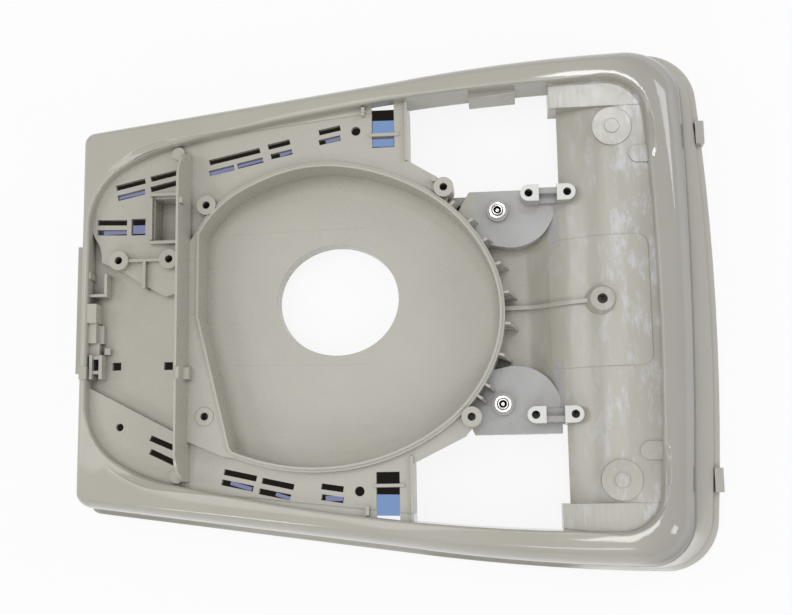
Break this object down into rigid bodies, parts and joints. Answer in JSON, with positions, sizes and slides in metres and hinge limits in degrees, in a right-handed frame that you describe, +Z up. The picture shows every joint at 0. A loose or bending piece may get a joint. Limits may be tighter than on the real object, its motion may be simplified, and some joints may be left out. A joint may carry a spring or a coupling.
{
  "type": "fan housing",
  "caption": "Tapered moulded plastic housing with a rolled frame, a vented deck, a fan scroll with an oval inlet and a curved floor between large openings.",
  "frame": {"origin": "under the middle of the whole housing, on the surface it stands on", "axes": "+X along the housing to its wide end, +Z up out of the recess, +Y across"},
  "size_m": [0.2732, 0.2216, 0.04],
  "materials": {
    "housing_plastic": "glossy warm light grey, satin inside the recess",
    "insert_metal": "turned bright steel"
  },
  "bodies": {
    "root": {"housing": "housing_plastic", "metal_inserts": "insert_metal"}
  },
  "joints": []
}
